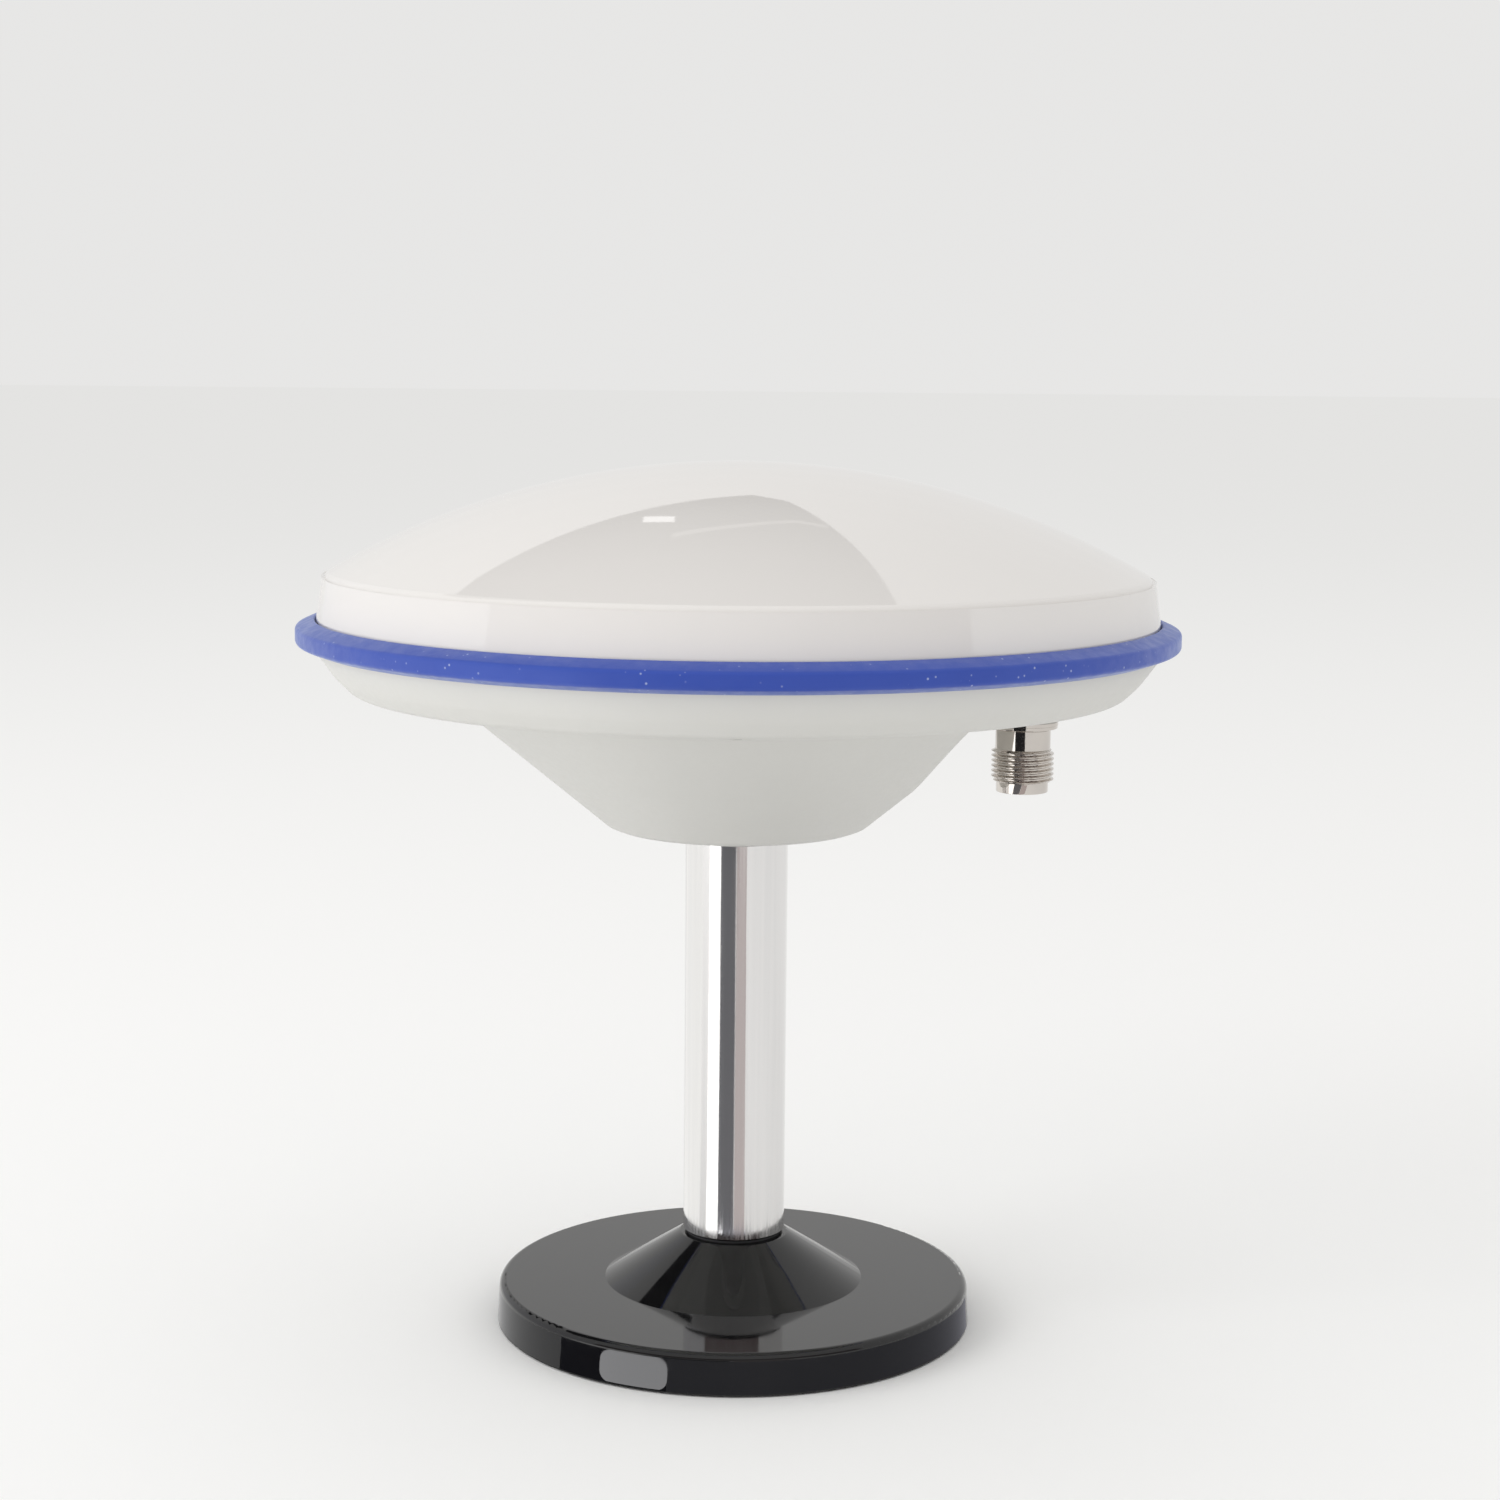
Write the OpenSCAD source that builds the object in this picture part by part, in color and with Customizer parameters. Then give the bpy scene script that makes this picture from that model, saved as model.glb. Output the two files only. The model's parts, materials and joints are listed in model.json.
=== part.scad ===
// GNSS receiver head on a short pole with a magnetic base.
// Millimetres, +Z up. The origin is the centre of the base's underside.

/* [Base] */
// Diameter of the base at its foot
base_d = 85.6; // [80:0.1:86]
// Height of the base's flat top above the floor
base_top_h = 7.45; // [7.4:0.05:8.5]
// Height of the cone that carries the pole, above the floor
cone_top_h = 15.9; // [14.5:0.1:18]
// Diameter of the cone where it meets the base's flat top
cone_foot_d = 46.6; // [42:0.1:54]
// Diameter of the cone's small flat top
cone_top_d = 19.4; // [19:0.1:22]
// Radius of the rounded upper edge of the base
base_edge_r = 1.25; // [0.5:0.05:1.5]
// Thickness of the rubber pad under the base
pad_t = 1.3; // [1:0.1:1.5]

/* [Pole] */
// Outer diameter of the pole
pole_d = 18.3; // [18:0.1:19]
// Length of the pole's tube
pole_l = 72; // [60:1:200]
// Wall thickness of the pole's tube
pole_wall = 1.5; // [1:0.1:2]
// Thickness of the washer under the pole
pole_washer_t = 0.5; // [0.4:0.1:1]
// Thickness of the washer under the head
head_washer_t = 0.8; // [0.5:0.1:1.5]

/* [Threads] */
// Major diameter of the head's mounting thread, 5/8-11 UNC
mount_thread_d = 15.88; // [15.7:0.01:15.88]
// Length of the mounting stud above the pole
mount_thread_l = 14; // [12:0.5:14.5]
// Major diameter of the pole's foot thread, M10
foot_thread_d = 9.92; // [9.8:0.01:9.95]
// Radial clearance of a stud in its own threaded hole
thread_gap = 0.08; // [0.03:0.01:0.1]

/* [Head] */
// Diameter of the head over the bumper ring
ring_d = 155; // [154:0.5:160]
// Height of the head from its flat underside to the top of the dome
head_h = 64.75; // [64:0.25:68]
// Radius of the dome's sphere
dome_r = 144; // [140:1:150]
// Height of the dome's rounded edge above the head's underside
dome_edge_h = 45.35; // [45:0.05:46]
// Radius of the dome's rounded edge
dome_edge_r = 1.8; // [1:0.1:2.4]
// Wall thickness of the radome and the lower housing
shell_t = 2.5; // [2.2:0.1:2.8]
// Diameter of the head's flat underside
head_foot_d = 43.5; // [40:0.5:45]
// Diameter of the top of the lower housing's cone
head_cone_d = 98.8; // [97:0.2:100]

/* [Connector] */
// Distance of the coaxial jack from the head's axis
jack_x = 50.7; // [50.5:0.1:51.5]
// Radius of the relief cut in the cone beside the jack
scoop_r = 50; // [44:1:60]
// Distance of the relief's wall from the head's axis
scoop_x = 30; // [28:0.5:34]
// Major diameter of the jack's coupling thread, 7/16-28 UNEF
jack_thread_d = 11.11; // [11:0.01:11.12]
// Number of crests on the jack's coupling thread
jack_crests = 6; // [5:1:6]

/* [Electronics] */
// Diameter of the antenna's ground plane
ground_d = 116; // [112:1:118]
// Side of the lower patch
lower_patch_w = 76; // [70:1:76]
// Side of the upper patch
upper_patch_w = 50; // [44:1:54]
// Thickness of each patch
patch_t = 6; // [4:0.5:6]
// Diameter of the amplifier board
board_d = 82; // [78:1:84]

/* [Hidden] */

$fn = 96;
eps = 0.01;
fit_gap = 0.05; // gap between pieces that are pressed or screwed together

// Base
base_r = base_d / 2;
base_lift = 0.3; // the cover hangs this far above the floor
base_draft = 0.35; // how far the base's side leans in over its height
cover_in_r = base_r - 2.2;
cover_in_top = base_top_h - 1.35;
pad_r = cover_in_r - 0.2;
yoke_r = cover_in_r - 0.4;
yoke_wall = 2.4;
yoke_top_t = 1.8;
magnet_bore_r = 15;
hub_r = 8;
hub_flange_r = 13.2;
hub_top = cone_top_h - 0.3;
hub_flange_low = 2.4;
hub_screw_pcr = 10.8;
hub_screw_r = 1.5;
hub_screw_reach = 5; // how far each screw goes into the cone above the cover's inside
hub_screw_head_r = 2.2;
foot_bore_r = foot_thread_d / 2 + thread_gap;
foot_stud_low = 4.3;
foot_stud_in_plug = 10;

// Pole
pole_r = pole_d / 2;
pole_low = cone_top_h + pole_washer_t;
tube_top = pole_low + pole_l;
plug_r = pole_r - pole_wall - fit_gap;
plug_l = 12;
top_cap_t = 1.2;
pole_top = tube_top + top_cap_t;
tail_r = 5; // the mounting stud's lower end

// Head
head_low = pole_top + head_washer_t;
ring_r = ring_d / 2;
insert_bore_r = mount_thread_d / 2 + thread_gap;
insert_r = 11.5;
insert_l = 16;
insert_bore_l = 14.6;
boss_r = 15;
boss_top = head_low + insert_l + 2.2;
ring_low = head_low + 32.3;
ring_top = head_low + 37.6;
tongue_low = ring_low + 0.9;
tongue_top = ring_low + 2.3;
spigot_r = ring_r - 6.6;
spigot_top = ring_low + 4.8;
gasket_w = 0.75;
gasket_h = 1.2;
gasket_low = ring_low + 3;
skirt_r = ring_r - 3.65; // radome's skirt at the ring's upper lip
dome_edge_radius = ring_r - 5.3; // where the skirt would meet the dome
dome_centre_z = head_low + head_h - dome_r;
screw_ring_r = 64.2; // radius of the circle of housing screws
screw_count = 6;
screw_r = 1.5;
screw_head_r = 2.8;
screw_head_t = 1.8;
screw_seat = head_low + 26.4;
screw_top = head_low + 38;
radome_boss_low = head_low + 28.4;
radome_boss_r = 3.4;

// The lower housing's outside, from the foot's edge to the rim
housing_path = [
    [0, head_low],
    [head_foot_d / 2, head_low],
    [head_foot_d / 2 + 1.6, head_low + 0.6],
    [head_cone_d / 2, head_low + 22.1],
    [ring_r - 9.5, head_low + 24.74],
    [ring_r - 6.7, head_low + 27.5],
    [ring_r - 3.25, head_low + 32.2]
];
roof_z = head_low + 22.1; // flat roof of the relief around the jack

// Jack, from the mouth up
jack_low = head_low + 6.6;
jack_thread_low = head_low + 8.85;
jack_pitch = 25.4 / 28;
jack_crest_w = 0.3;
jack_root_r = jack_thread_d / 2 - 0.56;
jack_nose_r = 4.62;
jack_body_r = 4.9;
jack_shank_r = 4.75;
jack_flange_r = 6.1;
jack_flange_low = head_low + 18.1;
jack_flange_t = 0.6;
jack_gasket_t = 0.6;
jack_boss_low = jack_flange_low + jack_flange_t + jack_gasket_t;
jack_boss_r = 5.9;
jack_top = head_low + 28.2;
jack_mouth_r = 4.06;
jack_core_r = 2.6;
jack_mouth_l = 8; // depth of the wide part of the jack's bore
roof_in_z = roof_z + shell_t;
lock_washer_r = 6.6;
lock_washer_t = 0.6;
nut_t = 2.2;
nut_flats = 14;
nut_seat = roof_in_z + 0.6;
nut_pocket_r = 8.8;
contact_r = 0.75;

// Electronics
ground_low = head_low + 30.6;
ground_t = 1.5;
ground_top = ground_low + ground_t;
ground_post_pcr = 50;
ground_post_r = 3.2;
patch_low = ground_top;
patch_mid = patch_low + patch_t;
patch_top = patch_mid + patch_t;
feed_offset = 9; // distance of each feed pin from the axis
feed_r = 0.6;
feed_gap = 0.1;
centre_screw_r = 1.5;
board_low = head_low + 25;
board_t = 1.6;
board_top = board_low + board_t;
standoff_pcr = 35;
standoff_r = 2.5;
small_screw_r = 1.25;
shield_size = [36, 18, 3];
shield_wall = 0.4;
shield_y = 12;
cable_r = 0.6;
cable_bend_r = 1.5;
cable_end_x = 38.5; // where the cable turns down to the board
cable_z = jack_top + cable_bend_r;

// Geometry helpers

function unit(v) = v / norm(v);
function left_of(v) = [-v[1], v[0]];

// Corner b of the path a-b-c, moved t to the path's left
function mitre(a, b, c, t) =
    let (n1 = left_of(unit(b - a)), n2 = left_of(unit(c - b)))
    b + t * (n1 + n2) / (1 + n1 * n2);

function inset_path(path, t) =
    [for (i = [1 : len(path) - 2]) mitre(path[i - 1], path[i], path[i + 1], t)];

// What rounding takes from the convex corner p between points a and b of an outline
module corner_cut(a, p, b, r) {
    u = unit(a - p);
    v = unit(b - p);
    half = acos(u * v) / 2;
    reach = r / tan(half);
    centre = p + unit(u + v) * r / sin(half);
    difference() {
        polygon([
            centre,
            centre + (p + u * reach - centre) * 1.3,
            p + (p - centre) * 0.5,
            centre + (p + v * reach - centre) * 1.3
        ]);
        translate(centre) circle(r);
    }
}

module ring_of(count, radius, first = 0) {
    for (i = [0 : count - 1])
        rotate(first + i * 360 / count)
            translate([radius, 0, 0])
                children();
}

module tube(r_out, r_in, z_low, z_high) {
    translate([0, 0, z_low])
        difference() {
            cylinder(r = r_out, h = z_high - z_low);
            translate([0, 0, -eps]) cylinder(r = r_in, h = z_high - z_low + 2 * eps);
        }
}

module rod(r, z_low, z_high) {
    translate([0, 0, z_low]) cylinder(r = r, h = z_high - z_low);
}

module at_jack() {
    translate([jack_x, 0, 0]) children();
}

// Base

module base_pad() {
    color([0.07, 0.07, 0.075]) rod(pad_r, 0, pad_t);
}

module base_cover_profile() {
    top_edge = [base_r - base_draft, base_top_h];
    foot = [base_r, base_lift];
    cone_foot = [cone_foot_d / 2, base_top_h];
    cone_top = [cone_top_d / 2, cone_top_h];
    difference() {
        polygon([
            [hub_r + fit_gap, cover_in_top], [cover_in_r, cover_in_top], [cover_in_r, base_lift],
            foot, top_edge, cone_foot, cone_top, [hub_r + fit_gap, cone_top_h]
        ]);
        corner_cut(foot, top_edge, cone_foot, base_edge_r);
        corner_cut(cone_foot, cone_top, [hub_r, cone_top_h], 0.5);
    }
}

module base_cover() {
    hole_top = cover_in_top + hub_screw_reach + 0.2;
    color([0.02, 0.02, 0.022])
        difference() {
            rotate_extrude($fn = 180) base_cover_profile();
            ring_of(3, hub_screw_pcr) rod(hub_screw_r, cover_in_top - eps, hole_top);
        }
}

module magnet() {
    color([0.25, 0.25, 0.27])
        tube(yoke_r - yoke_wall - fit_gap, magnet_bore_r, pad_t + 0.1, cover_in_top - yoke_top_t - fit_gap);
}

module magnet_yoke() {
    yoke_low = cover_in_top - yoke_top_t;
    color([0.6, 0.6, 0.62])
        difference() {
            union() {
                tube(yoke_r, yoke_r - yoke_wall, pad_t, cover_in_top);
                tube(yoke_r - yoke_wall + eps, hub_r + fit_gap, yoke_low, cover_in_top);
            }
            ring_of(3, hub_screw_pcr) rod(hub_screw_r + 0.15, yoke_low - 1, cover_in_top + 1);
        }
}

module base_hub() {
    flange_top = cover_in_top - yoke_top_t;
    color([0.62, 0.62, 0.64])
        difference() {
            union() {
                rod(hub_flange_r, hub_flange_low, flange_top);
                rod(hub_r, hub_flange_low, hub_top);
            }
            rod(foot_bore_r, 4.0, hub_top + 1);
            ring_of(3, hub_screw_pcr) rod(hub_screw_r + 0.15, 0, flange_top + 1);
        }
}

module hub_screws() {
    head_low_z = pad_t + 0.1;
    color([0.7, 0.7, 0.72])
        ring_of(3, hub_screw_pcr)
            difference() {
                union() {
                    rod(hub_screw_head_r, head_low_z, hub_flange_low);
                    rod(hub_screw_r - fit_gap, hub_flange_low - eps, cover_in_top + hub_screw_reach);
                }
                translate([0, 0, head_low_z - eps]) cylinder(r = 1, h = 0.7, $fn = 6);
            }
}

// Pole

module pole_washer() {
    color([0.05, 0.05, 0.05]) tube(pole_r - 0.6, foot_bore_r + 0.35, cone_top_h, pole_low);
}

module pole_tube() {
    wall_in = pole_r - pole_wall;
    edge = 0.3;
    color([0.82, 0.82, 0.83])
        rotate_extrude($fn = 120)
            polygon([
                [wall_in, pole_low], [pole_r - edge, pole_low], [pole_r, pole_low + edge],
                [pole_r, tube_top - edge], [pole_r - edge, tube_top], [wall_in, tube_top]
            ]);
}

module pole_foot_plug() {
    color([0.66, 0.66, 0.68])
        tube(plug_r, foot_thread_d / 2 + 0.03, pole_low, pole_low + plug_l);
}

module pole_foot_stud() {
    color([0.7, 0.7, 0.72])
        rotate_extrude()
            polygon([
                [0, foot_stud_low], [foot_thread_d / 2 - 1, foot_stud_low],
                [foot_thread_d / 2, foot_stud_low + 1], [foot_thread_d / 2, pole_low + foot_stud_in_plug],
                [0, pole_low + foot_stud_in_plug]
            ]);
}

module pole_top_plug() {
    color([0.66, 0.66, 0.68])
        difference() {
            union() {
                rod(plug_r, tube_top - plug_l, tube_top + eps);
                rod(pole_r - 0.1, tube_top, pole_top);
            }
            rod(tail_r + 0.03, tube_top - plug_l - 1, pole_top + 1);
        }
}

module mounting_stud() {
    thread_r = mount_thread_d / 2;
    stud_top = pole_top + mount_thread_l;
    color([0.7, 0.7, 0.72])
        rotate_extrude()
            polygon([
                [0, tube_top - plug_l], [tail_r, tube_top - plug_l], [tail_r, pole_top],
                [thread_r, pole_top], [thread_r, stud_top - 1.4], [thread_r - 1.4, stud_top], [0, stud_top]
            ]);
}

// Head

module head_washer() {
    color([0.9, 0.9, 0.88]) tube(11.5, insert_bore_r + 0.35, pole_top, head_low);
}

module scoop(grow, top) {
    translate([scoop_x + scoop_r, 0, 0]) rod(scoop_r + grow, head_low - 20, top);
}

module housing_cavity() {
    inner = inset_path(housing_path, shell_t);
    last = inner[len(inner) - 1];
    difference() {
        rotate_extrude($fn = 180)
            polygon(concat(
                [[0, head_low + shell_t]],
                [for (i = [0 : len(inner) - 2]) inner[i]],
                [[spigot_r - shell_t, last[1] - 2]],
                [[spigot_r - shell_t, spigot_top + 1], [0, spigot_top + 1]]
            ));
        scoop(shell_t, roof_in_z);
        at_jack() rod(nut_pocket_r, roof_z, nut_seat);
        rod(boss_r, head_low, boss_top);
        ring_of(screw_count, screw_ring_r, 30) rod(4, head_low + 20, radome_boss_low - 0.2);
        ring_of(screw_count, ground_post_pcr, 30) rod(ground_post_r, head_low + 20, ground_low);
    }
    at_jack() rod(nut_pocket_r, nut_seat, jack_top);
}

module lower_housing() {
    rim_r = ring_r - 3.25;
    color([0.86, 0.86, 0.855])
        difference() {
            union() {
                difference() {
                    rotate_extrude($fn = 180)
                        polygon(concat(housing_path, [
                            [rim_r, tongue_low], [spigot_r, tongue_low],
                            [spigot_r, spigot_top], [0, spigot_top]
                        ]));
                    scoop(0, roof_z);
                    housing_cavity();
                }
                at_jack() rod(jack_boss_r, jack_boss_low, roof_z + 1);
            }
            rod(insert_r + fit_gap, head_low - 1, head_low + insert_l + 0.2);
            at_jack() rod(jack_shank_r + fit_gap, head_low, jack_top + 2);
            ring_of(screw_count, screw_ring_r, 30) {
                rod(screw_r + 0.15, head_low, radome_boss_low + 1);
                rod(screw_head_r + 0.3, head_low, screw_seat);
            }
            ring_of(screw_count, ground_post_pcr, 30) rod(screw_r, ground_low - 5, ground_low + 1);
            tube(spigot_r + 1, spigot_r - gasket_w, gasket_low, gasket_low + gasket_h + 0.1);
        }
}

module threaded_insert() {
    color([0.78, 0.64, 0.32])
        difference() {
            rod(insert_r, head_low, head_low + insert_l);
            rod(insert_bore_r, head_low - 1, head_low + insert_bore_l);
        }
}

module bumper_ring() {
    lip_r = ring_r - 3.4;
    foot_r = ring_r - 3.15;
    band_low = ring_low + 1.1;
    band_high = ring_low + 3.8;
    edge_r = 0.8;
    tongue_in = spigot_r + 0.1;
    color([0.16, 0.29, 0.62])
        rotate_extrude($fn = 180)
            difference() {
                polygon([
                    [tongue_in, tongue_low], [foot_r, tongue_low], [foot_r, ring_low],
                    [ring_r, band_low], [ring_r, band_high], [lip_r, ring_top],
                    [lip_r, tongue_top], [tongue_in, tongue_top]
                ]);
                corner_cut([foot_r, ring_low], [ring_r, band_low], [ring_r, band_high], edge_r);
                corner_cut([ring_r, band_low], [ring_r, band_high], [lip_r, ring_top], edge_r);
            }
}

module radome_gasket() {
    color([0.1, 0.1, 0.1])
        tube(spigot_r + 0.35, spigot_r - gasket_w + fit_gap, gasket_low + fit_gap, gasket_low + gasket_h);
}

// The radome's outside, moved in by t
module radome_outline(t) {
    lean = (skirt_r - dome_edge_radius) / (head_low + dome_edge_h - ring_top);
    edge = [dome_edge_radius - t, head_low + dome_edge_h - t * 0.9];
    skirt_low = [skirt_r - t, ring_top];
    tip = edge - [lean, -1] * 12;
    slope = asin(edge[0] / (dome_r - t));
    along_dome = edge + [-cos(slope), sin(slope)];
    difference() {
        intersection() {
            translate([0, dome_centre_z]) circle(dome_r - t, $fn = 360);
            polygon([
                [0, tongue_top + 0.05], [skirt_r - t, tongue_top + 0.05], skirt_low,
                [tip[0], tip[1] + 12], [0, tip[1] + 12]
            ]);
        }
        if (dome_edge_r > t)
            corner_cut(skirt_low, edge, along_dome, dome_edge_r - t);
    }
}

module radome() {
    color([0.93, 0.92, 0.9])
        difference() {
            union() {
                difference() {
                    rotate_extrude($fn = 240) radome_outline(0);
                    rotate_extrude($fn = 240) radome_outline(shell_t);
                    rod(skirt_r - shell_t, tongue_top - 1, tongue_top + 1);
                }
                ring_of(screw_count, screw_ring_r, 30) {
                    rod(radome_boss_r, radome_boss_low, head_low + 44);
                    translate([0, -1, ring_top + 0.5]) cube([7.5, 2, 6]);
                }
            }
            ring_of(screw_count, screw_ring_r, 30) rod(screw_r, radome_boss_low - 1, screw_top + 0.5);
        }
}

module housing_screws() {
    head_bottom = screw_seat - screw_head_t;
    color([0.7, 0.7, 0.72])
        ring_of(screw_count, screw_ring_r, 30)
            difference() {
                union() {
                    rod(screw_head_r, head_bottom, screw_seat);
                    rod(screw_r - fit_gap, screw_seat - eps, screw_top);
                }
                translate([0, 0, head_bottom - eps]) cylinder(r = 1.2, h = 1.1, $fn = 6);
            }
}

// Electronics

module feed_holes() {
    ring_of(4, feed_offset, 45) rod(feed_r + feed_gap, board_low - 1, patch_top + 1);
}

module ground_plane() {
    color([0.75, 0.76, 0.78])
        difference() {
            rod(ground_d / 2, ground_low, ground_top);
            feed_holes();
            rod(centre_screw_r + 0.1, ground_low - 1, ground_top + 1);
            ring_of(screw_count, ground_post_pcr, 30) rod(screw_r + 0.15, ground_low - 1, ground_top + 1);
            ring_of(4, standoff_pcr, 45) rod(small_screw_r + 0.1, ground_low - 1, ground_top + 1);
        }
}

module ground_screws() {
    color([0.7, 0.7, 0.72])
        ring_of(screw_count, ground_post_pcr, 30)
            difference() {
                union() {
                    rod(2.7, ground_top, ground_top + 1.8);
                    rod(screw_r - fit_gap, ground_low - 4.5, ground_top + eps);
                }
                translate([0, 0, ground_top + 0.8]) cylinder(r = 1.2, h = 2, $fn = 6);
            }
}

module patch(w, z_low) {
    difference() {
        translate([-w / 2, -w / 2, z_low]) cube([w, w, patch_t]);
        feed_holes();
        rod(centre_screw_r + 0.1, z_low - 1, z_low + patch_t + 1);
    }
}

module lower_patch() {
    color([0.85, 0.83, 0.74])
        difference() {
            patch(lower_patch_w, patch_low);
            ring_of(4, standoff_pcr, 45) rod(2.6, patch_low - 1, patch_low + 2.4);
        }
}

module upper_patch() {
    color([0.88, 0.86, 0.78]) patch(upper_patch_w, patch_mid);
}

module patch_screw() {
    color([0.92, 0.92, 0.9])
        difference() {
            union() {
                rod(3, patch_top, patch_top + 2);
                rod(centre_screw_r, board_top + 2, patch_top + eps);
            }
            translate([-2.4, -0.4, patch_top + 1.2]) cube([4.8, 0.8, 1]);
        }
}

module patch_nut() {
    color([0.92, 0.92, 0.9])
        difference() {
            translate([0, 0, ground_low - 1.6]) cylinder(r = 3.1, h = 1.6, $fn = 6);
            rod(centre_screw_r + 0.03, ground_low - 3, ground_low + 1);
        }
}

module feed_pins() {
    color([0.85, 0.68, 0.3])
        ring_of(4, feed_offset, 45) {
            rod(feed_r, board_low - 0.6, patch_top + 0.2);
            rod(1.1, patch_top, patch_top + 0.5);
        }
}

module amplifier_board() {
    color([0.05, 0.3, 0.16])
        difference() {
            rod(board_d / 2, board_low, board_top);
            feed_holes();
            ring_of(4, standoff_pcr, 45) rod(small_screw_r + 0.1, board_low - 1, board_top + 1);
        }
}

module amplifier_shield() {
    color([0.78, 0.78, 0.76])
        difference() {
            translate([-shield_size[0] / 2, shield_y, board_top]) cube(shield_size);
            translate([shield_wall - shield_size[0] / 2, shield_y + shield_wall, board_top - shield_wall])
                cube(shield_size - [2, 2, 0] * shield_wall);
        }
}

module board_standoffs() {
    color([0.78, 0.64, 0.32])
        ring_of(4, standoff_pcr, 45) tube(standoff_r, small_screw_r + 0.02, board_top, ground_low);
}

module board_screws() {
    color([0.7, 0.7, 0.72])
        ring_of(4, standoff_pcr, 45) {
            rod(2.2, board_low - 1.5, board_low);
            rod(small_screw_r, board_low - eps, board_top + 1.8);
            rod(small_screw_r, ground_low - 1.8, ground_top + eps);
            rod(2.2, ground_top, ground_top + 1.5);
        }
}

// Jack

module jack_shell() {
    crest_r = jack_thread_d / 2;
    flank = (jack_pitch - jack_crest_w) / 2;
    bevel = 0.25;
    flange_top = jack_flange_low + jack_flange_t;
    color([0.76, 0.74, 0.72])
        at_jack()
            rotate_extrude()
                polygon(concat(
                    [[jack_mouth_r, jack_low], [jack_nose_r - bevel, jack_low],
                     [jack_nose_r, jack_low + bevel], [jack_nose_r, jack_thread_low - flank]],
                    [for (i = [0 : jack_crests - 1], p = [
                        [jack_root_r, -flank * 0.8], [crest_r, 0],
                        [crest_r, jack_crest_w], [jack_root_r, jack_crest_w + flank * 0.8]
                    ]) [p[0], jack_thread_low + i * jack_pitch + p[1]]],
                    [[jack_body_r, jack_thread_low + jack_crests * jack_pitch],
                     [jack_body_r, jack_flange_low], [jack_flange_r, jack_flange_low],
                     [jack_flange_r, flange_top], [jack_shank_r, flange_top], [jack_shank_r, jack_top],
                     [jack_core_r, jack_top],
                     [jack_core_r, jack_low + jack_mouth_l], [jack_mouth_r, jack_low + jack_mouth_l]]
                ));
}

module jack_dielectric() {
    color([0.95, 0.95, 0.93])
        at_jack() tube(jack_core_r - fit_gap, contact_r + 0.03, jack_low + 1.6, jack_top - 0.2);
}

module jack_contact() {
    color([0.85, 0.68, 0.3])
        at_jack()
            difference() {
                rod(contact_r, jack_low + 1.2, jack_top);
                rod(0.45, jack_low, jack_low + 4);
            }
}

module jack_gasket() {
    color([0.55, 0.54, 0.53])
        at_jack()
            tube(jack_flange_r + 0.1, jack_shank_r + 0.03, jack_flange_low + jack_flange_t, jack_boss_low);
}

module jack_lock_washer() {
    color([0.7, 0.7, 0.72])
        at_jack() tube(lock_washer_r, jack_shank_r + 0.03, nut_seat, nut_seat + lock_washer_t);
}

module jack_nut() {
    nut_low = nut_seat + lock_washer_t;
    color([0.74, 0.72, 0.7])
        at_jack()
            difference() {
                translate([0, 0, nut_low]) cylinder(d = nut_flats / cos(30), h = nut_t, $fn = 6);
                rod(jack_shank_r + 0.03, nut_low - 1, nut_low + nut_t + 1);
            }
}

// Quarter bend in the X-Z plane, about the origin, from angle a
module cable_bend(a) {
    rotate([90, 0, 0])
        rotate(a)
            rotate_extrude(angle = 90, $fn = 48) translate([cable_bend_r, 0]) circle(cable_r, $fn = 24);
}

module coax_jumper() {
    bend_centre_z = cable_z - cable_bend_r + fit_gap;
    run_low_x = cable_end_x + cable_bend_r;
    run_high_x = jack_x - cable_bend_r;
    color([0.6, 0.45, 0.25]) {
        translate([run_high_x, 0, bend_centre_z]) cable_bend(0);
        translate([run_low_x, 0, cable_z + fit_gap])
            rotate([0, 90, 0]) cylinder(r = cable_r, h = run_high_x - run_low_x, $fn = 24);
        translate([run_low_x, 0, bend_centre_z]) cable_bend(90);
        translate([cable_end_x, 0, board_top + fit_gap])
            cylinder(r = cable_r, h = bend_centre_z - board_top - fit_gap, $fn = 24);
    }
}

base_pad();
base_cover();
magnet();
magnet_yoke();
base_hub();
hub_screws();
pole_washer();
pole_tube();
pole_foot_plug();
pole_foot_stud();
pole_top_plug();
mounting_stud();
head_washer();
lower_housing();
threaded_insert();
bumper_ring();
radome_gasket();
radome();
housing_screws();
ground_plane();
ground_screws();
lower_patch();
upper_patch();
patch_screw();
patch_nut();
feed_pins();
amplifier_board();
amplifier_shield();
board_standoffs();
board_screws();
jack_shell();
jack_dielectric();
jack_contact();
jack_gasket();
jack_lock_washer();
jack_nut();
coax_jumper();
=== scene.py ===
import json
import math

import bmesh
import bpy
from mathutils import Matrix, Vector


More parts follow.
